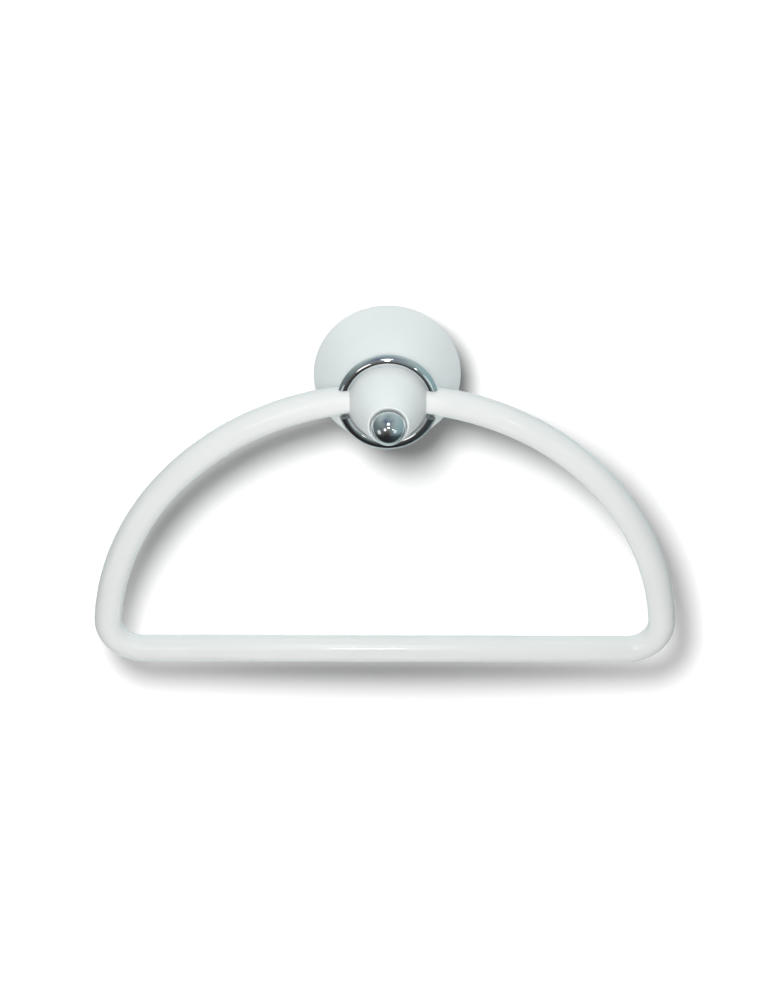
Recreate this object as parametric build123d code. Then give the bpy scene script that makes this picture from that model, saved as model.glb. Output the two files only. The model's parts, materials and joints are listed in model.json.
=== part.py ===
from build123d import *
import math
import os

# Wall-mounted towel ring: a tube bent to a half disc, whose ends are trapped in a conical hub.
# All sizes are in millimetres. X runs to the right, Y into the wall and Z up. The wall is the plane
# Y = 0, the hub's axis runs out of it along -Y through the origin, and a depth is a distance from the wall.

# Ring, a round tube
tube_diameter = 10.0
tube_wall = 1.0
arc_radius = 105.0             # centreline of the half round
ring_drop = 104.0              # hub axis down to the centreline of the straight bar
corner_radius = 12.0           # centreline of the two lower bends
ring_clearance = 0.15          # all round the tube where it passes through the hub
ring_end_clearance = 2.0       # from the clamp screw to each end of the tube

# Bead collar, one turned piece with a sleeve that is cross-drilled for the ring's ends
bead_diameter = 31.6           # centreline of the bead
bead_section = 3.2
bead_stand = 1.0               # how far the bead stands in front of the collar's web
sleeve_end_wall = 1.8          # left in front of and behind the cross hole
sleeve_clearance = 0.1
sleeve_end_gap = 0.3

# Base cone, a casting that hides the wall bracket
base_diameter = 52.5
base_land = 0.6                # straight rim against the wall
base_wall = 3.0                # of the cone, measured along a radius
base_floor = 3.0               # between the bracket's pocket and the collar's seat
cavity_width = 4.75            # hollow between the cone and the bracket's socket, at the wall
cavity_floor_width = 1.5
socket_wall = 2.25
base_rim_round = 0.5

# Wall bracket, a disc that is wider in front than at the wall
bracket_thickness = 5.6
bracket_undercut = 0.8
bracket_clearance = 0.25
bracket_gap = 3.0              # in front of the bracket, behind the clamp screw's head
wall_screw_hole_diameter = 4.5
wall_screw_head_diameter = 8.4
wall_screw_edge = 4.5          # from a wall screw's centre to the bracket's rim

# Grub screw, under the base
grub_diameter = 4.0
grub_length = 8.0
grub_rim_wall = 0.6            # of the base, between its straight rim and the screw's hole
grub_boss_width = 8.0
grub_key_size = 2.0            # across the flats of its hexagon socket
grub_key_depth = 2.5
grub_seat_gap = 0.05

# Clamp screw, from the back of the base into the finial
clamp_diameter = 4.0
clamp_head_diameter = 8.0
clamp_head_height = 2.2
clamp_head_round = 0.7
clamp_slot_width = 1.0
clamp_slot_depth = 1.1
clamp_engagement = 5.5         # length of thread in the finial
clamp_tip_gap = 0.5
clamp_hole_clearance = 0.2
thread_clearance = 0.1

# Nose cone, the front half of the hub
nose_length = 18.7
nose_wall = 2.2                # over the collar's sleeve and the hollow in front of it
nose_front_wall = 3.0
joint_gap = 0.15               # between the nose and the bead
lip_diameter = 13.8
lip_width = 0.75
lip_round = 0.35
recess_depth = 2.4

# Ball finial
ball_diameter = 11.7
ball_stand = 1.3               # of its centre in front of the lip

# Radii
tube_radius = tube_diameter / 2
bead_radius = bead_diameter / 2
base_radius = base_diameter / 2
grub_radius = grub_diameter / 2
clamp_radius = clamp_diameter / 2
clamp_hole_radius = clamp_radius + clamp_hole_clearance
lip_radius = lip_diameter / 2

# Stack of depths, from the wall outwards
pocket_depth = bracket_thickness + bracket_gap + clamp_head_height
seat_depth = pocket_depth + base_floor
sleeve_back = seat_depth + sleeve_end_gap
ring_depth = sleeve_back + sleeve_end_wall + ring_clearance + tube_radius
sleeve_front = ring_depth + tube_radius + ring_clearance + sleeve_end_wall
bead_depth = ring_depth + bead_section / 2
nose_back = ring_depth + bead_section - bead_stand
lip_depth = nose_back + nose_length
recess_floor = lip_depth - recess_depth
ball_depth = lip_depth + ball_stand
clamp_tip = recess_floor + clamp_engagement

# Nose cone's outline, which tucks in behind the bead's crest and sets the sleeve's size
bead_half_gap = math.sqrt((bead_section / 2) ** 2 - (nose_back - bead_depth) ** 2)
nose_radius = bead_radius - bead_half_gap - joint_gap
nose_slope = (nose_radius - lip_radius) / nose_length


def nose_radius_at(depth):
    return nose_radius - nose_slope * (depth - nose_back)


sleeve_radius = nose_radius_at(sleeve_front) - nose_wall - sleeve_clearance
sleeve_bore = sleeve_radius + sleeve_clearance

# Base cone's inside, from the rim inwards
base_slope = (base_radius - bead_radius) / (ring_depth - base_land)
cavity_outer = base_radius - base_wall
socket_outer = cavity_outer - cavity_width
socket_radius = socket_outer - socket_wall
cavity_depth = base_land + (cavity_width - cavity_floor_width) / base_slope
bracket_radius = socket_radius - bracket_clearance
grub_hole_radius = grub_radius + thread_clearance
grub_depth = base_land + grub_rim_wall + grub_hole_radius
grub_tip = bracket_radius + grub_seat_gap

# Ring's outline: the arc crosses the nose's rim at the height of the hub's axis
arc_centre = -math.sqrt(arc_radius ** 2 - nose_radius ** 2)
corner_z = corner_radius - ring_drop
corner_x = math.sqrt((arc_radius - corner_radius) ** 2 - (corner_z - arc_centre) ** 2)
corner_angle = math.degrees(math.atan2(corner_z - arc_centre, corner_x))
end_angle = math.degrees(math.acos((clamp_radius + ring_end_clearance) / arc_radius))
ring_plane = Plane.XZ.offset(ring_depth)


def turned(*corners):
    """A solid turned about the hub's axis, from corners of (radius, depth, rounding)."""
    points = [(radius, -depth) for radius, depth, rounding in corners]
    roundings = [rounding for radius, depth, rounding in corners]
    outline = FilletPolyline(*points, radius=roundings, close=True)
    return revolve(make_face(outline), axis=Axis.Y)


def rod(radius, back, front, bore=0):
    """A plain cylinder or ring on the hub's axis, between two depths."""
    return turned((bore, back, 0), (radius, back, 0), (radius, front, 0), (bore, front, 0))


def ring_bore():
    """The way through the hub for the tube: the arc carried on to a full circle, with clearance."""
    return ring_plane * Pos(0, arc_centre, 0) * Torus(arc_radius, tube_radius + ring_clearance)


def towel_ring():
    """The tube: half round, two bends and a straight bar, with its ends either side of the clamp screw."""
    bend = -90 - corner_angle
    arc = corner_angle - end_angle
    bar_end = (corner_x, -ring_drop)
    bar_start = (-corner_x, -ring_drop)
    edges = [
        CenterArc((0, arc_centre), arc_radius, end_angle, arc),
        CenterArc((corner_x, corner_z), corner_radius, corner_angle, bend),
        Line(bar_end, bar_start),
        CenterArc((-corner_x, corner_z), corner_radius, -90, bend),
        CenterArc((0, arc_centre), arc_radius, 180 - corner_angle, arc),
    ]
    path = Wire([ring_plane * edge for edge in edges])
    section = Circle(tube_radius) - Circle(tube_radius - tube_wall)
    return sweep(Plane(path @ 0, z_dir=path % 0) * section, path=path)


def bead_collar():
    """The chromed ring between base and nose, one piece with the sleeve that holds the ring's ends."""
    web = rod(bead_radius, ring_depth, nose_back, clamp_hole_radius)
    sleeve = rod(sleeve_radius, sleeve_back, sleeve_front, clamp_hole_radius)
    bead = revolve(Pos(bead_radius, -bead_depth) * Circle(bead_section / 2), axis=Axis.Y)
    return web + sleeve + bead - ring_bore()


def base_cone():
    """The conical casting: a pocket for the bracket behind, a seat for the collar in front."""
    cone = turned(
        (0, 0, 0),
        (base_radius, 0, 0),
        (base_radius, base_land, base_rim_round),
        (bead_radius, ring_depth, 0),
        (0, ring_depth, 0),
    )
    pocket = rod(socket_radius, 0, pocket_depth)
    clamp_hole = rod(clamp_hole_radius, pocket_depth, seat_depth)
    seat = rod(sleeve_bore, seat_depth, ring_depth)
    cavity = turned(
        (socket_outer, 0, 0),
        (cavity_outer, 0, 0),
        (cavity_outer, base_land, 0),
        (socket_outer + cavity_floor_width, cavity_depth, 0),
        (socket_outer, cavity_depth, 0),
    )
    boss = Pos(0, 0, -base_radius / 2) * Box(grub_boss_width, 2 * base_radius, base_radius)
    grub_hole_plane = Plane((0, -grub_depth, 0), z_dir=(0, 0, -1))
    grub_hole = extrude(grub_hole_plane * Circle(grub_hole_radius), base_diameter)
    return cone - pocket - clamp_hole - seat - (cavity - boss) - grub_hole - ring_bore()


def wall_bracket():
    """The disc that is screwed to the wall; the grub screw bears on its undercut rim."""
    disc = turned(
        (0, 0, 0),
        (bracket_radius - bracket_undercut, 0, 0),
        (bracket_radius, bracket_thickness, 0),
        (0, bracket_thickness, 0),
    )
    hole_radius = wall_screw_hole_diameter / 2
    head_radius = wall_screw_head_diameter / 2
    sink_depth = bracket_thickness - (head_radius - hole_radius)
    hole = turned(
        (0, 0, 0),
        (hole_radius, 0, 0),
        (hole_radius, sink_depth, 0),
        (head_radius, bracket_thickness, 0),
        (0, bracket_thickness, 0),
    )
    hole_x = bracket_radius - wall_screw_edge
    return disc - Pos(hole_x, 0, 0) * hole - Pos(-hole_x, 0, 0) * hole


def grub_screw():
    """The hexagon-socket set screw that locks the base on the bracket."""
    tip_plane = Plane((0, -grub_depth, -grub_tip), z_dir=(0, 0, -1))
    body = extrude(tip_plane * Circle(grub_radius), grub_length)
    key = extrude(tip_plane * RegularPolygon(grub_key_size / 2, 6, major_radius=False), grub_length)
    return body - Pos(0, 0, grub_key_depth - grub_length) * key


def clamp_screw():
    """The slotted screw that pulls base, collar and nose together from behind."""
    head_back = pocket_depth - clamp_head_height
    shank = turned(
        (0, head_back, 0),
        (clamp_head_diameter / 2, head_back, clamp_head_round),
        (clamp_head_diameter / 2, pocket_depth, 0),
        (clamp_radius, pocket_depth, 0),
        (clamp_radius, clamp_tip, 0),
        (0, clamp_tip, 0),
    )
    slot = Box(clamp_head_diameter, 2 * clamp_slot_depth, clamp_slot_width)
    return shank - Pos(0, -head_back, 0) * slot


def nose_cone():
    """The front cone: it closes over the tube and the sleeve, and its lip surrounds the ball."""
    hollow_back = sleeve_front + sleeve_end_gap
    hollow_front = recess_floor - nose_front_wall
    shell = turned(
        (nose_radius, nose_back, 0),
        (lip_radius, lip_depth, lip_round),
        (lip_radius - lip_width, lip_depth, lip_round),
        (lip_radius - lip_width, recess_floor, 0),
        (clamp_hole_radius, recess_floor, 0),
        (clamp_hole_radius, hollow_front, 0),
        (nose_radius_at(hollow_front) - nose_wall, hollow_front, 0),
        (sleeve_bore, hollow_back, 0),
        (sleeve_bore, nose_back, 0),
    )
    return shell - ring_bore()


def ball_finial():
    """The chromed ball, cut flat where it seats in the nose and threaded for the clamp screw."""
    ball = Pos(0, -ball_depth, 0) * Sphere(ball_diameter / 2)
    back = rod(ball_diameter, recess_floor - ball_diameter, recess_floor)
    thread = rod(clamp_radius + thread_clearance, recess_floor, clamp_tip + clamp_tip_gap)
    return ball - back - thread


pieces = {
    "wall_bracket": wall_bracket(),
    "base_cone": base_cone(),
    "grub_screw": grub_screw(),
    "bead_collar": bead_collar(),
    "towel_ring": towel_ring(),
    "nose_cone": nose_cone(),
    "clamp_screw": clamp_screw(),
    "ball_finial": ball_finial(),
}

os.makedirs("parts", exist_ok=True)
for name, piece in pieces.items():
    export_step(piece, f"parts/{name}.step")
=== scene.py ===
# %% [markdown]
# A towel ring in white enamel and chrome
#
# A bent tube hangs from a conical hub on the wall. The hub is a stack: a base cone, a chromed bead,
# a nose cone and a chromed ball, pulled together by one hidden screw. The shapes come from CAD at
# real size, in metres here, with the wall in the plane Y = 0 and the hub pointing along -Y. This
# lesson adds what CAD leaves plain: screw threads, softened edges, paint, plating and light.

# %% Load the CAD model
import json
import math

import bmesh
import bpy
from mathutils import Matrix, Vector


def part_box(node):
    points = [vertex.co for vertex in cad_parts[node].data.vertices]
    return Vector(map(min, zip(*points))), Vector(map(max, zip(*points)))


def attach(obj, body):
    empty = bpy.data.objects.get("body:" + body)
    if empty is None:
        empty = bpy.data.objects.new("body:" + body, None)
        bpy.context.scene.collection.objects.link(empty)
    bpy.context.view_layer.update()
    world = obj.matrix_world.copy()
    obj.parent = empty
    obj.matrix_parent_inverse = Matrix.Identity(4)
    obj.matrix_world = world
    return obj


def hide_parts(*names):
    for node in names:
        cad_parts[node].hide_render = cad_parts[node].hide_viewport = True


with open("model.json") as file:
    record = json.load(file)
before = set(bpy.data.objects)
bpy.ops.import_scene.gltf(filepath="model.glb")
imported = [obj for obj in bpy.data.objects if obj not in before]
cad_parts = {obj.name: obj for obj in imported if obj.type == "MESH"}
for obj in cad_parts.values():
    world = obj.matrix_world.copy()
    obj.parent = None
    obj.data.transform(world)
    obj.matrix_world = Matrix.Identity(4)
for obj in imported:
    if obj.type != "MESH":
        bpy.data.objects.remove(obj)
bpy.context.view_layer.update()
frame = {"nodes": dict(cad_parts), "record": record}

nodes = frame["nodes"]
mm = 0.001
print("CAD nodes:", ", ".join(sorted(nodes)))

# %% [markdown]
# Gloss enamel for the ring
#
# The tube is sprayed and baked, so its white is deep and wet-looking, with the faint ripple that
# painters call orange peel. A Principled shader with a thin clear coat gives the two reflections
# of real enamel: a soft one from the paint and a sharp one from its skin. The ripple is a bump
# from noise at the scale of a few millimetres, so low that it only wavers a highlight. All the
# patterns read Object coordinates, which are the place on the part, so they stay put in any view.


# %% Gloss enamel: helpers for shader nodes
def new_finish(name):
    """A material with a bare Principled shader; also gives its node tree and Object coordinates."""
    finish = bpy.data.materials.new(name)
    finish.use_nodes = True
    tree = finish.node_tree
    tree.nodes.clear()
    output = tree.nodes.new("ShaderNodeOutputMaterial")
    shader = tree.nodes.new("ShaderNodeBsdfPrincipled")
    tree.links.new(shader.outputs["BSDF"], output.inputs["Surface"])
    place = tree.nodes.new("ShaderNodeTexCoord").outputs["Object"]
    return finish, tree, shader, place


def noise(tree, place, scale, detail=2.0, roughness=0.5):
    """Smooth random values; a scale of 100 makes spots of about a hundredth of a metre."""
    node = tree.nodes.new("ShaderNodeTexNoise")
    node.inputs["Scale"].default_value = scale
    node.inputs["Detail"].default_value = detail
    node.inputs["Roughness"].default_value = roughness
    tree.links.new(place, node.inputs["Vector"])
    return node.outputs["Fac"]


def ramp(tree, value, low, high, start=0.0, end=1.0):
    """Runs from low to high while the value runs from start to end, and holds beyond."""
    node = tree.nodes.new("ShaderNodeMapRange")
    node.inputs["From Min"].default_value = start
    node.inputs["From Max"].default_value = end
    node.inputs["To Min"].default_value = low
    node.inputs["To Max"].default_value = high
    tree.links.new(value, node.inputs["Value"])
    return node.outputs["Result"]


def colour_ramp(tree, value, *stops):
    """Blends between colours, each given with the value where it stands."""
    node = tree.nodes.new("ShaderNodeValToRGB")
    elements = node.color_ramp.elements
    while len(elements) < len(stops):
        elements.new(0.5)
    for element, (position, colour) in zip(elements, stops):
        element.position = position
        element.color = (*colour, 1.0)
    tree.links.new(value, node.inputs["Fac"])
    return node.outputs["Color"]


def bump(tree, shader, height, distance, strength, under=None):
    """Tilts the shading by a height map, on top of another bump if one is given."""
    node = tree.nodes.new("ShaderNodeBump")
    node.inputs["Strength"].default_value = strength
    node.inputs["Distance"].default_value = distance
    tree.links.new(height, node.inputs["Height"])
    if under is not None:
        tree.links.new(under, node.inputs["Normal"])
    tree.links.new(node.outputs["Normal"], shader.inputs["Normal"])
    return node.outputs["Normal"]


# %% Gloss enamel: the finish
ring_enamel, tree, shader, place = new_finish("ring_gloss_enamel")
drift = noise(tree, place, scale=35.0)
white = colour_ramp(tree, drift, (0.35, (0.76, 0.78, 0.77)), (0.65, (0.78, 0.80, 0.79)))
tree.links.new(white, shader.inputs["Base Color"])
gloss = ramp(tree, noise(tree, place, scale=160.0), low=0.16, high=0.24)
tree.links.new(gloss, shader.inputs["Roughness"])
orange_peel = noise(tree, place, scale=420.0, detail=1.0)
bump(tree, shader, orange_peel, distance=0.2 * mm, strength=0.05)
shader.inputs["Specular IOR Level"].default_value = 0.35
shader.inputs["Coat Weight"].default_value = 0.8
shader.inputs["Coat Roughness"].default_value = 0.04
print("finish:", ring_enamel.name)

# %% [markdown]
# Satin enamel for the hub
#
# Base and nose are zinc castings under a softer powder coat, which shows no sharp highlights and
# makes the cones look like porcelain. Powder can't reach far into a casting, so behind the base
# the coat thins out and the grey metal comes through. A distance inside the cone says where: the
# cone's radius at that depth, less the point's own distance from the hub's axis. A Bevel node
# finds the sharp edges, from which a coat of powder always pulls back a little.

# %% Satin enamel: how far inside the cone
hub_enamel, tree, shader, place = new_finish("hub_satin_enamel")
base_low, base_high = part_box("base_cone")
collar_low, collar_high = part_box("bead_collar")
cad_bead_section = 3.2 * mm
front_radius = collar_high.z - cad_bead_section / 2
cone_slope = (base_high.x - front_radius) / -base_low.y

flat = tree.nodes.new("ShaderNodeVectorMath")
flat.operation = "MULTIPLY"
flat.inputs[1].default_value = (1, 0, 1)
tree.links.new(place, flat.inputs[0])
from_axis = tree.nodes.new("ShaderNodeVectorMath")
from_axis.operation = "LENGTH"
tree.links.new(flat.outputs["Vector"], from_axis.inputs[0])
split = tree.nodes.new("ShaderNodeSeparateXYZ")
tree.links.new(place, split.inputs["Vector"])
cone_radius = tree.nodes.new("ShaderNodeMath")
cone_radius.operation = "MULTIPLY_ADD"
cone_radius.inputs[1].default_value = cone_slope
cone_radius.inputs[2].default_value = base_high.x
tree.links.new(split.outputs["Y"], cone_radius.inputs[0])
inside = tree.nodes.new("ShaderNodeMath")
inside.operation = "SUBTRACT"
tree.links.new(cone_radius.outputs["Value"], inside.inputs[0])
tree.links.new(from_axis.outputs["Value"], inside.inputs[1])
coat_thins = 2.6 * mm
all_bare = 5.0 * mm
bare = ramp(tree, inside.outputs["Value"], low=0.0, high=1.0, start=coat_thins, end=all_bare)
print("the cone narrows by", round(cone_slope, 3), "of its depth")

# %% Satin enamel: coat and bare metal
drift = noise(tree, place, scale=60.0)
coat = colour_ramp(tree, drift, (0.35, (0.74, 0.775, 0.775)), (0.65, (0.76, 0.795, 0.795)))
casting = noise(tree, place, scale=900.0, detail=4.0, roughness=0.65)
metal = colour_ramp(tree, casting, (0.3, (0.40, 0.41, 0.42)), (0.7, (0.58, 0.59, 0.60)))
shade = tree.nodes.new("ShaderNodeMix")
shade.data_type = "RGBA"
tree.links.new(bare, shade.inputs["Factor"])
tree.links.new(coat, shade.inputs["A"])
tree.links.new(metal, shade.inputs["B"])
print("the coat thins out from", round(coat_thins / mm, 1), "mm inside the cone")

# %% Satin enamel: thin edges, gloss and grain
soft_edge = tree.nodes.new("ShaderNodeBevel")
soft_edge.inputs["Radius"].default_value = 0.35 * mm
surface = tree.nodes.new("ShaderNodeNewGeometry")
turn = tree.nodes.new("ShaderNodeVectorMath")
turn.operation = "DOT_PRODUCT"
tree.links.new(soft_edge.outputs["Normal"], turn.inputs[0])
tree.links.new(surface.outputs["Normal"], turn.inputs[1])
edge = ramp(tree, turn.outputs["Value"], low=0.35, high=0.0, start=0.80, end=0.97)
thin = tree.nodes.new("ShaderNodeMix")
thin.data_type = "RGBA"
thin.inputs["B"].default_value = (0.60, 0.64, 0.65, 1.0)
tree.links.new(edge, thin.inputs["Factor"])
tree.links.new(shade.outputs["Result"], thin.inputs["A"])
tree.links.new(thin.outputs["Result"], shader.inputs["Base Color"])

satin = ramp(tree, noise(tree, place, scale=300.0), low=0.40, high=0.52)
tree.links.new(satin, shader.inputs["Roughness"])
powder_grain = noise(tree, place, scale=1500.0, detail=3.0)
bump(tree, shader, powder_grain, distance=0.1 * mm, strength=0.10)
print("finish:", hub_enamel.name)

# %% [markdown]
# Bright chrome
#
# Chrome is a mirror, so most of its look is the room around it. What belongs to the plate itself
# is a cool grey, a trace of haze where it was buffed, and polishing marks that run round the
# hub's axis. A Wave texture in rings about Y gives those, far finer than the eye separates.


# %% Chrome
wave_repeat = 0.314


def turned_rings(tree, place, spacing, wobble):
    """Rings about the hub's axis; at a scale of 1 a Wave texture repeats every 0.314 metres."""
    node = tree.nodes.new("ShaderNodeTexWave")
    node.wave_type = "RINGS"
    node.rings_direction = "Y"
    node.inputs["Scale"].default_value = wave_repeat / spacing
    node.inputs["Distortion"].default_value = wobble
    node.inputs["Detail"].default_value = 2.0
    tree.links.new(place, node.inputs["Vector"])
    return node.outputs["Fac"]


chrome, tree, shader, place = new_finish("bright_chrome_plate")
shader.inputs["Metallic"].default_value = 1.0
haze = noise(tree, place, scale=400.0, detail=3.0)
cool_grey = colour_ramp(tree, haze, (0.3, (0.74, 0.765, 0.78)), (0.7, (0.79, 0.81, 0.82)))
tree.links.new(cool_grey, shader.inputs["Base Color"])
tree.links.new(ramp(tree, haze, low=0.03, high=0.08), shader.inputs["Roughness"])
scuffs = noise(tree, place, scale=2500.0, detail=4.0, roughness=0.7)
scuffed = bump(tree, shader, scuffs, distance=0.05 * mm, strength=0.04)
polish_marks = turned_rings(tree, place, spacing=0.12 * mm, wobble=1.5)
bump(tree, shader, polish_marks, distance=0.01 * mm, strength=0.02, under=scuffed)
print("finish:", chrome.name)

# %% [markdown]
# Zinc plate for the hidden hardware
#
# The bracket and the two screws never show from the front. They are turned steel under bright
# zinc: grey, with clouds of blue and straw from the bath, and the lathe's rings on the faces.

# %% Zinc plate
zinc, tree, shader, place = new_finish("bright_zinc_plate")
shader.inputs["Metallic"].default_value = 1.0
cloud = noise(tree, place, scale=180.0, detail=3.0)
bath = colour_ramp(
    tree, cloud, (0.3, (0.58, 0.60, 0.64)), (0.55, (0.64, 0.65, 0.66)), (0.75, (0.66, 0.64, 0.58))
)
tree.links.new(bath, shader.inputs["Base Color"])
tree.links.new(ramp(tree, cloud, low=0.26, high=0.40), shader.inputs["Roughness"])
crystals = noise(tree, place, scale=1800.0, detail=3.0)
grain = bump(tree, shader, crystals, distance=0.1 * mm, strength=0.08)
tool_marks = turned_rings(tree, place, spacing=0.45 * mm, wobble=0.8)
bump(tree, shader, tool_marks, distance=0.05 * mm, strength=0.25, under=grain)
print("finish:", zinc.name)

# %% [markdown]
# Dressing the CAD solids
#
# The ring, both cones and the ball are smooth turned or bent forms, and CAD gives them exact
# normals. Modelling them again would only lose accuracy, so they stay and get a finish.

# %% Dress the CAD nodes
finishes = {
    "towel_ring": ring_enamel,
    "base_cone": hub_enamel,
    "nose_cone": hub_enamel,
    "ball_finial": chrome,
}
for name, finish in finishes.items():
    nodes[name].data.materials.clear()
    nodes[name].data.materials.append(finish)
    print(name, "wears", finish.name)

# %% [markdown]
# Wall bracket
#
# The bracket is a turned disc, wider in front than at the wall, with two countersunk holes. Every
# edge of a turned part is broken with a small chamfer, which catches the light. The disc is made
# of circles: each circle operator gives one ring of edges, bridge_loops skins two neighbours, and
# triangle_fill closes the two flat faces round the holes. A chamfer or a countersink is then only
# one more circle, and nothing has to be cut.


# %% Circles and skins
def circle(bm, radius, depth, beside=0.0):
    """A ring of edges parallel to the wall, at a depth in front of it."""
    face_out = Matrix.Rotation(math.radians(90), 4, "X")
    where = Matrix.Translation((beside, -depth, 0)) @ face_out
    made = bmesh.ops.create_circle(bm, segments=96, radius=radius, matrix=where)
    return list(dict.fromkeys(edge for vert in made["verts"] for edge in vert.link_edges))


def skin(bm, rings):
    """Faces from each ring of edges to the next."""
    for ring, following in zip(rings, rings[1:]):
        bmesh.ops.bridge_loops(bm, edges=ring + following)


# %% From a bmesh to a piece
def edge_uses(mesh):
    """How many faces each edge has: two everywhere on a closed mesh."""
    uses = [0] * len(mesh.edges)
    for loop in mesh.loops:
        uses[loop.edge_index] += 1
    return uses


def add_piece(name, bm, node, finish):
    """Makes an object of a bmesh, in place of a CAD node and moving with the part."""
    bmesh.ops.recalc_face_normals(bm, faces=bm.faces)
    mesh = bpy.data.meshes.new(name)
    bm.to_mesh(mesh)
    bm.free()
    mesh.shade_smooth()
    mesh.set_sharp_from_angle(angle=math.radians(30))
    mesh.materials.append(finish)
    made = bpy.data.objects.new(name, mesh)
    bpy.context.scene.collection.objects.link(made)
    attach(made, "root")
    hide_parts(node)
    open_edges = sum(1 for count in edge_uses(mesh) if count != 2)
    print(name, "has", len(mesh.polygons), "faces and", open_edges, "open edges")


# %% Wall bracket
bracket_low, bracket_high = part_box("wall_bracket")
bracket_radius = bracket_high.x
bracket_thickness = -bracket_low.y
undercut = 0.8 * mm
chamfer = 0.3 * mm
hole_dims = frame["record"]["mounts"][0]["dims"]
hole_radius = hole_dims["hole_r_mm"] * mm
hole_side = hole_dims["spacing_x_mm"] * mm / 2
sink_radius = 4.2 * mm
sink_depth = bracket_thickness - (sink_radius - hole_radius)


def rim_radius(depth):
    """The undercut rim widens from the wall to the front."""
    return bracket_radius - undercut * (1 - depth / bracket_thickness)


bracket = bmesh.new()
rim = [
    circle(bracket, rim_radius(0) - chamfer, 0),
    circle(bracket, rim_radius(chamfer), chamfer),
    circle(bracket, rim_radius(bracket_thickness - chamfer), bracket_thickness - chamfer),
    circle(bracket, bracket_radius - chamfer, bracket_thickness),
]
skin(bracket, rim)
back_edges = list(rim[0])
front_edges = list(rim[-1])
for side in (-hole_side, hole_side):
    hole = [
        circle(bracket, hole_radius + chamfer, 0, side),
        circle(bracket, hole_radius, chamfer, side),
        circle(bracket, hole_radius, sink_depth, side),
        circle(bracket, sink_radius, bracket_thickness, side),
    ]
    skin(bracket, hole)
    back_edges += hole[0]
    front_edges += hole[-1]
bmesh.ops.triangle_fill(bracket, edges=back_edges, use_beauty=True)
bmesh.ops.triangle_fill(bracket, edges=front_edges, use_beauty=True)
add_piece("turned_bracket", bracket, "wall_bracket", zinc)

# %% [markdown]
# A screw thread
#
# A thread is one small tooth carried round a screw's axis while it climbs. The spin operator does
# exactly that: with a dvec it lifts the profile a little at every step. One pitch of profile, spun
# for enough turns, meets itself all the way up, so merging the doubles makes one skin. Two
# bisecting planes cut it to length and the open ends are filled. The far end gets a cone by
# drawing in whatever stands outside it, as the lathe would.


# %% Thread
thread_pitch = 0.7 * mm
thread_height = 0.54 * thread_pitch
steps_per_turn = 32
turns_below = 2
spare_turns = 3


def cut(bm, height, **side):
    """Cuts level at a height and clears one side."""
    bmesh.ops.bisect_plane(
        bm,
        geom=bm.verts[:] + bm.edges[:] + bm.faces[:],
        plane_co=(0, 0, height),
        plane_no=(0, 0, 1),
        **side,
    )


def threaded_rod(radius, length, cone):
    """A closed thread up the Z axis from the origin, with a cone of that height at its top end."""
    bm = bmesh.new()
    root = radius - thread_height
    tooth = [(root, 0), (root, 1 / 8), (radius, 7 / 16), (radius, 9 / 16), (root, 7 / 8), (root, 1)]
    corners = [bm.verts.new((r, 0, (share - turns_below) * thread_pitch)) for r, share in tooth]
    flanks = [bm.edges.new(pair) for pair in zip(corners, corners[1:])]
    turns = math.ceil(length / thread_pitch) + spare_turns
    bmesh.ops.spin(
        bm,
        geom=corners + flanks,
        cent=(0, 0, 0),
        axis=(0, 0, 1),
        dvec=(0, 0, thread_pitch / steps_per_turn),
        angle=turns * math.tau,
        steps=turns * steps_per_turn,
    )
    bmesh.ops.remove_doubles(bm, verts=bm.verts, dist=thread_pitch / 1000)
    cut(bm, 0, clear_inner=True)
    cut(bm, length, clear_outer=True)
    bmesh.ops.edgeloop_fill(bm, edges=[edge for edge in bm.edges if edge.is_boundary])
    for vert in bm.verts:
        reach = math.hypot(vert.co.x, vert.co.y)
        allowed = radius - cone + length - vert.co.z
        if reach > allowed:
            vert.co.x *= allowed / reach
            vert.co.y *= allowed / reach
    bmesh.ops.recalc_face_normals(bm, faces=bm.faces)
    return bm


# %% [markdown]
# Joining and cutting solid shapes
#
# A key socket and a screwdriver slot are plain cuts, and here a Boolean modifier is the simplest
# tool. The modifier is evaluated once and its result kept, so no live modifier stays on the piece.
# A Boolean gives its points and faces in another order each run, so the result is first put in a
# fixed one. Where two cuts meet it can leave slivers, so points that all but touch are merged.


# %% Booleans: a fixed order
def in_fixed_order(bm):
    """The same mesh with its points sorted by place, and its faces by their points."""
    ordered = bmesh.new()
    by_place = sorted(bm.verts, key=lambda vert: tuple(vert.co))
    copies = {vert: ordered.verts.new(vert.co) for vert in by_place}
    ordered.verts.index_update()
    outlines = []
    for face in bm.faces:
        corners = [copies[vert] for vert in face.verts]
        first = min(range(len(corners)), key=lambda at: corners[at].index)
        outlines.append(corners[first:] + corners[:first])
    outlines.sort(key=lambda corners: [vert.index for vert in corners])
    for corners in outlines:
        ordered.faces.new(corners)
    bm.free()
    return ordered


# %% Booleans
all_but_touching = 0.0005 * mm


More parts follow.
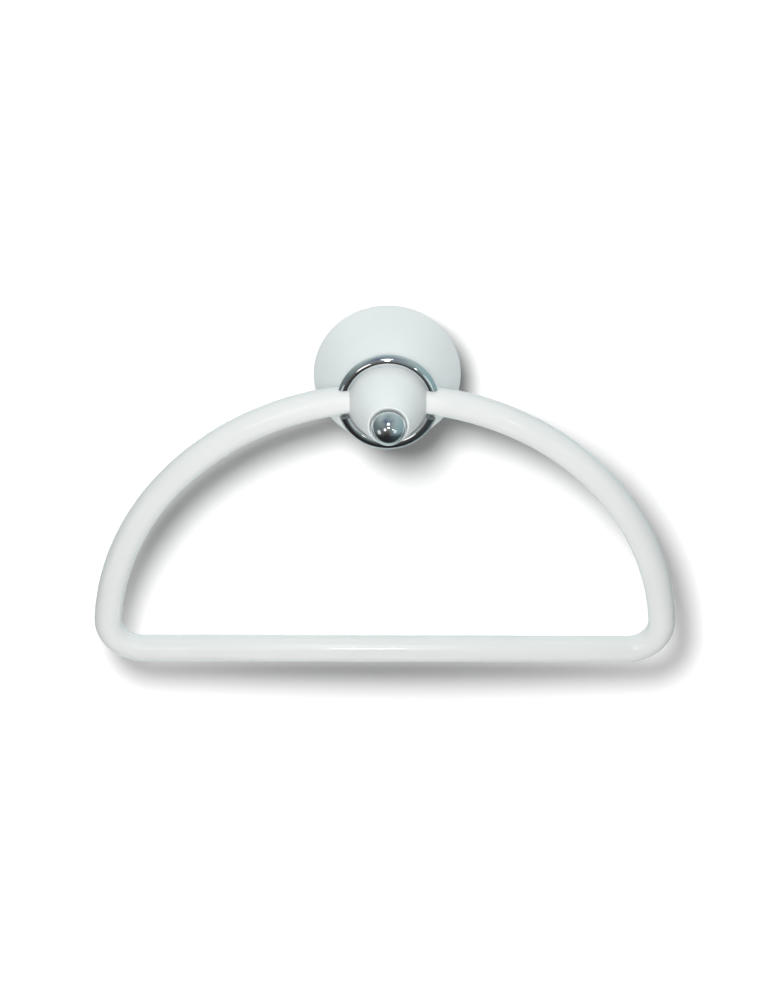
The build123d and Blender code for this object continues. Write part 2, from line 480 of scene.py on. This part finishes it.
def combined(first, second, operation):
    """One bmesh from two closed ones: DIFFERENCE cuts the second out, UNION welds it on."""
    bodies = []
    for shape in (first, second):
        mesh = bpy.data.meshes.new("shape")
        shape.to_mesh(mesh)
        shape.free()
        made = bpy.data.objects.new("shape", mesh)
        bpy.context.scene.collection.objects.link(made)
        bodies.append(made)
    join = bodies[0].modifiers.new("join", "BOOLEAN")
    join.object = bodies[1]
    join.operation = operation
    join.solver = "EXACT"
    bpy.context.view_layer.update()
    evaluated = bodies[0].evaluated_get(bpy.context.evaluated_depsgraph_get())
    result = bmesh.new()
    result.from_mesh(evaluated.to_mesh())
    result = in_fixed_order(result)
    bmesh.ops.remove_doubles(result, verts=result.verts, dist=all_but_touching)
    bmesh.ops.dissolve_degenerate(result, edges=result.edges, dist=all_but_touching)
    for made in bodies:
        mesh = made.data
        bpy.data.objects.remove(made)
        bpy.data.meshes.remove(mesh)
    return result


# %% [markdown]
# Bead collar
#
# The chromed bead between the cones is the hub's brightest line, and it is fuller than the CAD
# solid's. A circle spun about the hub's axis makes it. The bead beds on the nose, so a cone with
# the nose's own slope is cut out of it, and a slot on each side lets the tube in from the front.
# Behind the bead a web and a sleeve, spun from one outline, hold the ring's ends. Slot and cross
# hole both follow the tube, so each is an outline spun about the centre of the ring's arc.

# %% Bead collar: the bead
nose_low, nose_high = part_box("nose_cone")
nose_radius = nose_high.z
nose_depth = -nose_high.y
lip_radius = 6.9 * mm
nose_slope = (nose_radius - lip_radius) / (nose_high.y - nose_low.y)
seat_gap = 0.15 * mm
ring_depth = -base_low.y
bead_round = 2.2 * mm
bead_middle = 15.4 * mm
base_gap = 0.02 * mm
bead_depth = ring_depth + bead_round + base_gap


def spin_about_hub(bm, steps):
    """Carries a profile once round the hub's axis."""
    profile = bm.verts[:] + bm.edges[:]
    bmesh.ops.spin(
        bm,
        geom=profile,
        cent=(0, 0, 0),
        axis=(0, 1, 0),
        angle=math.tau,
        steps=steps,
        use_merge=True,
    )
    bmesh.ops.recalc_face_normals(bm, faces=bm.faces)


bead = bmesh.new()
section = Matrix.Translation((bead_middle, -bead_depth, 0))
bmesh.ops.create_circle(bead, segments=64, radius=bead_round, matrix=section)
spin_about_hub(bead, 180)

seat_length = 4 * mm
seat_middle = Matrix.Translation((0, -nose_depth - seat_length / 2, 0))
seat = bmesh.new()
bmesh.ops.create_cone(
    seat,
    segments=180,
    radius1=nose_radius + seat_gap,
    radius2=nose_radius + seat_gap - nose_slope * seat_length,
    depth=seat_length,
    cap_ends=True,
    matrix=seat_middle @ Matrix.Rotation(math.radians(90), 4, "X"),
)
bead = combined(bead, seat, "DIFFERENCE")
print("bead faces:", len(bead.faces))

# %% Bead collar: slots and cross hole
arc_radius = 105.0 * mm
arc_middle = Vector((0, -ring_depth, -math.sqrt(arc_radius ** 2 - nose_radius ** 2)))
way_radius = 5.15 * mm
half_sweep = math.radians(16)


def along_the_arc(segments, radius, shape):
    """A closed bar that follows the tube through the hub; its outline is a circle or a square."""
    bm = bmesh.new()
    across = Matrix.Rotation(math.radians(90), 4, "Y")
    swing = Matrix.Rotation(-half_sweep, 4, "Y")
    start = Matrix.Translation(arc_middle) @ swing @ Matrix.Translation((0, 0, arc_radius)) @ across
    bmesh.ops.create_circle(bm, segments=segments, radius=radius, matrix=start @ shape)
    bmesh.ops.spin(
        bm,
        geom=bm.verts[:] + bm.edges[:],
        cent=arc_middle,
        axis=(0, 1, 0),
        angle=2 * half_sweep,
        steps=64,
    )
    bmesh.ops.edgeloop_fill(bm, edges=[edge for edge in bm.edges if edge.is_boundary])
    bmesh.ops.recalc_face_normals(bm, faces=bm.faces)
    return bm


slot_reach = 8 * mm
square = Matrix.Rotation(math.radians(45), 4, "Z")
slot_play = 0.05 * mm
slot_half = way_radius + slot_play
slot_size = Matrix.Diagonal((slot_half, slot_reach / 2, 1, 1))
slot_shape = Matrix.Translation((0, -slot_reach / 2, 0)) @ slot_size
slots = along_the_arc(4, math.sqrt(2), slot_shape @ square)
bead = combined(bead, slots, "DIFFERENCE")
cross_hole = along_the_arc(64, way_radius, Matrix.Identity(4))
print("slotted bead faces:", len(bead.faces))

# %% Bead collar: web and sleeve
screw_way = 2.2 * mm
sleeve_radius = 10.0 * mm
web_play = 0.05 * mm
web_front = nose_depth - web_play
outline = [
    (screw_way, -collar_high.y),
    (sleeve_radius, -collar_high.y),
    (sleeve_radius, ring_depth),
    (bead_middle, ring_depth),
    (bead_middle, web_front),
    (sleeve_radius, web_front),
    (sleeve_radius, -collar_low.y),
    (screw_way, -collar_low.y),
]
sleeve = bmesh.new()
corners = [sleeve.verts.new((r, -depth, 0)) for r, depth in outline]
for pair in zip(corners, corners[1:] + corners[:1]):
    sleeve.edges.new(pair)
spin_about_hub(sleeve, 96)
collar = combined(bead, sleeve, "UNION")
collar = combined(collar, cross_hole, "DIFFERENCE")
add_piece("turned_bead_collar", collar, "bead_collar", chrome)

# %% [markdown]
# Grub screw
#
# Under the base a headless M4 screw presses on the bracket's undercut rim. Its outer end has a
# hexagon socket for a 2 mm key; its inner end is coned. A six-sided cone primitive with equal
# ends is the key's shape, and it is cut out of the thread.

# %% Grub screw
grub_low, grub_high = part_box("grub_screw")
grub_radius = (grub_high.x - grub_low.x) / 2
grub_length = grub_high.z - grub_low.z
grub_depth = -(grub_high.y + grub_low.y) / 2
key_width = 2.0 * mm
key_radius = key_width / 2 / math.cos(math.radians(30))
key_depth = 2.5 * mm
end_cone = 0.6 * mm

grub = threaded_rod(grub_radius, grub_length, end_cone)
key = bmesh.new()
bmesh.ops.create_cone(
    key,
    segments=6,
    radius1=key_radius,
    radius2=key_radius,
    depth=2 * key_depth,
    cap_ends=True,
    matrix=Matrix.Rotation(math.radians(30), 4, "Z"),
)
grub = combined(grub, key, "DIFFERENCE")
bmesh.ops.translate(grub, verts=grub.verts, vec=(0, -grub_depth, grub_low.z))
add_piece("socket_grub_screw", grub, "grub_screw", zinc)

# %% [markdown]
# Clamp screw
#
# One slotted screw runs from the back of the base through the collar and the nose into the ball,
# and holds the whole hub together. The head and the plain shank are a profile spun round the
# axis, with the head's edge rounded by a bevel; the thread is welded on and the slot cut last.

# %% Clamp screw: head and shank
clamp_low, clamp_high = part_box("clamp_screw")
head_radius = clamp_high.x
clamp_length = clamp_high.y - clamp_low.y
head_height = 2.2 * mm
head_round = 0.7 * mm
shank_radius = 2.0 * mm
thread_length = 12.0 * mm
shank_end = clamp_length - thread_length

clamp = bmesh.new()
outline = [
    (0, 0),
    (head_radius, 0),
    (head_radius, head_height),
    (shank_radius, head_height),
    (shank_radius, shank_end),
    (0, shank_end),
]
corners = [clamp.verts.new((r, 0, height)) for r, height in outline]
sides = [clamp.edges.new(pair) for pair in zip(corners, corners[1:])]
bmesh.ops.spin(
    clamp, geom=corners + sides, axis=(0, 0, 1), angle=math.tau, steps=64, use_merge=True
)
bmesh.ops.remove_doubles(clamp, verts=clamp.verts, dist=0.001 * mm)
bmesh.ops.recalc_face_normals(clamp, faces=clamp.faces)
near = 0.1 * mm


def on_head_edge(vert):
    """Whether a point lies on the outer edge of the head's slotted face."""
    reach = math.hypot(vert.co.x, vert.co.y)
    return vert.co.z < near and reach > head_radius - near


head_edge = [edge for edge in clamp.edges if all(on_head_edge(vert) for vert in edge.verts)]
bmesh.ops.bevel(
    clamp, geom=head_edge, offset=head_round, affect="EDGES", segments=5, profile=0.5, material=-1
)
print("rounded edges on the head:", len(head_edge))

# %% Clamp screw: thread and slot
overlap = 0.5 * mm
thread = threaded_rod(shank_radius, thread_length + overlap, end_cone)
bmesh.ops.translate(thread, verts=thread.verts, vec=(0, 0, shank_end - overlap))
clamp = combined(clamp, thread, "UNION")
slot_width = 1.0 * mm
slot_depth = 1.1 * mm
slot = bmesh.new()
bmesh.ops.create_cube(slot, size=1.0)
bmesh.ops.scale(slot, verts=slot.verts, vec=(3 * head_radius, slot_width, 2 * slot_depth))
clamp = combined(clamp, slot, "DIFFERENCE")
lie_down = Matrix.Rotation(math.radians(90), 3, "X")
bmesh.ops.rotate(clamp, verts=clamp.verts, cent=(0, 0, 0), matrix=lie_down)
bmesh.ops.translate(clamp, verts=clamp.verts, vec=(0, clamp_high.y, 0))
add_piece("slotted_clamp_screw", clamp, "clamp_screw", zinc)

# %% [markdown]
# Camera
#
# The picture was taken from a little above the hub at half a metre, with a fairly long lens. A
# focal length in pixels is the plainest way to say how strong a lens is: it is the number of
# pixels in one metre at one metre's distance. Blender wants millimetres on its sensor instead,
# and measures them along the longer side of the image, which is the height here.

# %% Camera
image_height = 1000
focal_pixels = 1345
camera_distance = 0.4792
camera_elevation = math.radians(23.85)
camera_azimuth = math.radians(-0.80)
camera_roll = math.radians(0.51)
camera_pivot = Vector((0.0, -3.6 * mm, 0.0))
camera_target = camera_pivot + Vector((-2.03 * mm, 0.0, -49.06 * mm))

direction = Vector((
    math.sin(camera_azimuth) * math.cos(camera_elevation),
    -math.cos(camera_azimuth) * math.cos(camera_elevation),
    math.sin(camera_elevation),
))
camera_place = camera_pivot + direction * camera_distance
back = (camera_place - camera_target).normalized()
right = Vector((0, 0, 1)).cross(back).normalized()
up = back.cross(right)
level = Matrix((right, up, back)).transposed()
turned = level @ Matrix.Rotation(camera_roll, 3, "Z")

camera = bpy.data.objects.new("camera", bpy.data.cameras.new("camera"))
bpy.context.scene.collection.objects.link(camera)
camera.data.lens = camera.data.sensor_width * focal_pixels / image_height
camera.data.clip_start = 0.01
camera.matrix_world = Matrix.Translation(camera_place) @ turned.to_4x4()
bpy.context.scene.camera = camera
print("lens in millimetres:", round(camera.data.lens, 2))

# %% [markdown]
# Wall
#
# A pale wall stands behind the part and catches its shadow. It hangs a little way back, as a
# studio backdrop does, so that the shadow shows beside the part and not only beneath it. The lamp
# that lights it is near, so its light falls off downwards: the wall's colour grows paler downwards
# to even that out, and an emission that grows with the distance from the ring keeps the picture's
# corners white. Only the camera sees the wall, and only from the front, so it throws no light on
# the part and doesn't hide its back.

# %% Wall
wall_size = 6.0
wall_gap = 40 * mm
wall_mesh = bpy.data.meshes.new("wall")
sheet = bmesh.new()
bmesh.ops.create_grid(sheet, x_segments=1, y_segments=1, size=wall_size / 2)
bmesh.ops.rotate(sheet, verts=sheet.verts, matrix=Matrix.Rotation(math.radians(90), 3, "X"))
bmesh.ops.translate(sheet, verts=sheet.verts, vec=(0, wall_gap, 0))
sheet.to_mesh(wall_mesh)
sheet.free()
wall = bpy.data.objects.new("wall", wall_mesh)
bpy.context.scene.collection.objects.link(wall)
print("wall faces:", tuple(round(v, 2) for v in wall_mesh.polygons[0].normal))

# %% Wall paint
ring_middle = Vector((0, -20 * mm, -50 * mm))
wall_paint = bpy.data.materials.new("wall_paint")
wall_paint.use_nodes = True
tree = wall_paint.node_tree
tree.nodes.clear()
output = tree.nodes.new("ShaderNodeOutputMaterial")
place = tree.nodes.new("ShaderNodeTexCoord").outputs["Object"]

diffuse = tree.nodes.new("ShaderNodeBsdfDiffuse")
split = tree.nodes.new("ShaderNodeSeparateXYZ")
tree.links.new(place, split.inputs["Vector"])
grey = ramp(tree, split.outputs["Z"], low=0.92, high=0.63, start=-0.15, end=0.0)
tree.links.new(grey, diffuse.inputs["Color"])
from_ring = tree.nodes.new("ShaderNodeVectorMath")
from_ring.operation = "DISTANCE"
from_ring.inputs[1].default_value = (ring_middle.x, wall_gap, ring_middle.z)
tree.links.new(place, from_ring.inputs[0])
glow = tree.nodes.new("ShaderNodeEmission")
glow_starts = 0.10
all_white = 0.33
brightness = ramp(
    tree, from_ring.outputs["Value"], low=0.03, high=1.0, start=glow_starts, end=all_white
)
tree.links.new(brightness, glow.inputs["Strength"])
lit = tree.nodes.new("ShaderNodeAddShader")
tree.links.new(diffuse.outputs["BSDF"], lit.inputs[0])
tree.links.new(glow.outputs["Emission"], lit.inputs[1])
print("the wall is all white", all_white, "m from the ring's middle")

# %% Wall paint: only for the camera, and only from the front
path = tree.nodes.new("ShaderNodeLightPath")
surface = tree.nodes.new("ShaderNodeNewGeometry")
seen_in_front = tree.nodes.new("ShaderNodeMath")
seen_in_front.operation = "SUBTRACT"
seen_in_front.use_clamp = True
tree.links.new(path.outputs["Is Camera Ray"], seen_in_front.inputs[0])
tree.links.new(surface.outputs["Backfacing"], seen_in_front.inputs[1])
clear = tree.nodes.new("ShaderNodeBsdfTransparent")
mixed = tree.nodes.new("ShaderNodeMixShader")
tree.links.new(seen_in_front.outputs["Value"], mixed.inputs["Fac"])
tree.links.new(clear.outputs["BSDF"], mixed.inputs[1])
tree.links.new(lit.outputs["Shader"], mixed.inputs[2])
tree.links.new(mixed.outputs["Shader"], output.inputs["Surface"])
wall_mesh.materials.append(wall_paint)
print("finish:", wall_paint.name)

# %% [markdown]
# Lamps
#
# The wall has a lamp of its own, above the camera's left shoulder. So near the camera, it throws a
# shadow that lies the same way off the part all over the picture, and its size against its
# distance sets how soft the shadow's edge is. Light linking keeps it off the part, and keeps the
# part's lamps off the wall, so that each can be set alone. The part has a broad softbox in front
# and a panel below, both left out of reflections, where their discs would cover the chrome. The
# small lamps and panels only put highlights on the enamel and catch lights on the chrome.


# %% Lamps
white_light = (1, 1, 1)
warm_light = (1.0, 0.99, 0.97)
lamp_distance = 0.60


def disc_lamp(name, way, size, watts, colour, distance=lamp_distance):
    """A round lamp at a distance from the ring's middle, along a direction, facing the ring."""
    data = bpy.data.lights.new(name, "AREA")
    data.shape = "DISK"
    data.size = size
    data.energy = watts
    data.color = colour
    made = bpy.data.objects.new(name, data)
    bpy.context.scene.collection.objects.link(made)
    made.location = ring_middle + way.normalized() * distance
    made.rotation_mode = "QUATERNION"
    made.rotation_quaternion = (-way).to_track_quat("-Z", "Y")
    print(name, "at", tuple(round(v, 3) for v in made.location))
    return made


share_of_the_way = 0.863
leftward = 40 * mm
upward = 49 * mm
beside_camera = ring_middle.lerp(camera_place, share_of_the_way) - right * leftward + up * upward
way = beside_camera - ring_middle
wall_lamp = disc_lamp("wall_lamp", way, 0.084, 3.45, white_light, distance=way.length)
broad_lamps = [
    disc_lamp("softbox", Vector((-0.06, -0.87, 0.50)), 0.35, 2.6, white_light),
    disc_lamp("floor_panel", Vector((0.0, -0.45, -0.89)), 0.35, 1.4, white_light),
]
for lamp in broad_lamps:
    lamp.visible_glossy = False

# %% Lamps for highlights: direction, size in metres, power in watts
highlights = [
    ("lens_lamp", back, 0.06, 0.24),
    ("right_lamp", Vector((0.42, -0.82, 0.27)), 0.03, 0.04),
    ("overhead_panel", Vector((-0.02, -0.62, 0.79)), 0.18, 0.16),
    ("side_panel", Vector((-0.36, -0.88, 0.28)), 0.16, 0.12),
    ("left_panel", Vector((-0.85, -0.51, -0.12)), 0.26, 0.11),
    ("right_panel", Vector((0.64, -0.74, 0.05)), 0.22, 0.07),
]
part_lamps = broad_lamps + [disc_lamp(*highlight, warm_light) for highlight in highlights]

# %% Which lamp lights what
only_wall = bpy.data.collections.new("only_wall")
only_wall.objects.link(wall)
wall_lamp.light_linking.receiver_collection = only_wall
not_wall = bpy.data.collections.new("not_wall")
not_wall.objects.link(wall)
not_wall.collection_objects[0].light_linking.link_state = "EXCLUDE"
for lamp in part_lamps:
    lamp.light_linking.receiver_collection = not_wall
print("lamps that miss the wall:", len(part_lamps))

# %% [markdown]
# Room
#
# The world plays two parts. For paint it is a soft fill: dim in front, where the dark half of the
# room is, and cool daylight from behind. For chrome it is the room itself: dark in front and
# below, with a blue band under a grey ceiling, pale towards the wall, slate to the left and teal
# to the right. Light Path tells the two kinds of ray apart, and the camera sees plain white.

# %% Room: fill light
world = bpy.data.worlds.new("room")
bpy.context.scene.world = world
world.use_nodes = True
tree = world.node_tree
tree.nodes.clear()
output = tree.nodes.new("ShaderNodeOutputWorld")
path = tree.nodes.new("ShaderNodeLightPath")
coords = tree.nodes.new("ShaderNodeTexCoord")
split = tree.nodes.new("ShaderNodeSeparateXYZ")
tree.links.new(coords.outputs["Generated"], split.inputs["Vector"])


def sky(value, *stops):
    """A background that changes colour along a value, from 0 to 1."""
    node = tree.nodes.new("ShaderNodeBackground")
    tree.links.new(colour_ramp(tree, value, *stops), node.inputs["Color"])
    return node.outputs["Background"]


def mix_shader(factor, first, second):
    """The first shader where the factor is 0, the second where it is 1."""
    node = tree.nodes.new("ShaderNodeMixShader")
    tree.links.new(factor, node.inputs["Fac"])
    tree.links.new(first, node.inputs[1])
    tree.links.new(second, node.inputs[2])
    return node.outputs["Shader"]


height = ramp(tree, split.outputs["Z"], low=0.0, high=1.0, start=-1.0, end=1.0)
behind = ramp(tree, split.outputs["Y"], low=0.0, high=1.0, start=-0.1, end=0.1)
fill_front = tree.nodes.new("ShaderNodeBackground")
fill_front.inputs["Color"].default_value = (0.18, 0.18, 0.18, 1.0)
fill_behind = sky(
    height,
    (0.0, (1.02, 1.08, 1.08)),
    (0.40, (1.00, 1.07, 1.07)),
    (0.60, (0.88, 0.97, 0.99)),
    (1.0, (0.85, 0.95, 0.97)),
)
fill = mix_shader(behind, fill_front.outputs["Background"], fill_behind)
print("fill light set")

# %% Room: what the chrome mirrors
front = sky(
    height,
    (0.0, (0.02, 0.02, 0.025)),
    (0.25, (0.03, 0.03, 0.03)),
    (0.42, (0.08, 0.07, 0.065)),
    (0.52, (0.13, 0.125, 0.12)),
    (0.68, (0.24, 0.24, 0.25)),
    (0.85, (0.20, 0.23, 0.28)),
    (0.95, (0.13, 0.16, 0.24)),
    (1.0, (0.27, 0.35, 0.38)),
)
wallward = sky(
    height,
    (0.0, (0.45, 0.55, 0.56)),
    (0.12, (0.62, 0.72, 0.72)),
    (0.28, (0.85, 0.92, 0.92)),
    (0.50, (0.80, 0.88, 0.86)),
    (0.80, (0.62, 0.72, 0.70)),
    (1.0, (0.27, 0.35, 0.38)),
)
left = sky(
    height,
    (0.0, (0.02, 0.02, 0.02)),
    (0.20, (0.03, 0.03, 0.03)),
    (0.34, (0.14, 0.17, 0.18)),
    (0.60, (0.16, 0.20, 0.21)),
    (0.80, (0.30, 0.37, 0.36)),
    (1.0, (0.50, 0.56, 0.54)),
)
rightward = sky(
    height,
    (0.0, (0.03, 0.04, 0.04)),
    (0.22, (0.06, 0.10, 0.11)),
    (0.36, (0.28, 0.38, 0.40)),
    (0.55, (0.30, 0.44, 0.46)),
    (1.0, (0.48, 0.56, 0.55)),
)
print("the mirrored room has four sides")

# %% Room: putting it together
to_left = ramp(tree, split.outputs["X"], low=1.0, high=0.0, start=-0.9, end=-0.3)
to_right = ramp(tree, split.outputs["X"], low=0.0, high=1.0, start=0.0, end=0.8)
front_and_back = mix_shader(behind, front, wallward)
with_left = mix_shader(to_left, front_and_back, left)
mirrored = mix_shader(to_right, with_left, rightward)

plain_white = tree.nodes.new("ShaderNodeBackground")
plain_white.inputs["Color"].default_value = (1, 1, 1, 1)
unseen = mix_shader(path.outputs["Is Glossy Ray"], fill, mirrored)
seen = mix_shader(path.outputs["Is Camera Ray"], unseen, plain_white.outputs["Background"])
tree.links.new(seen, output.inputs["Surface"])
print("room set with", len(tree.nodes), "nodes")

# %% [markdown]
# Finish
#
# The picture uses Blender's Standard view transform, so colours are shown as they render.

# %% Finish
bpy.context.scene.view_settings.view_transform = "Standard"
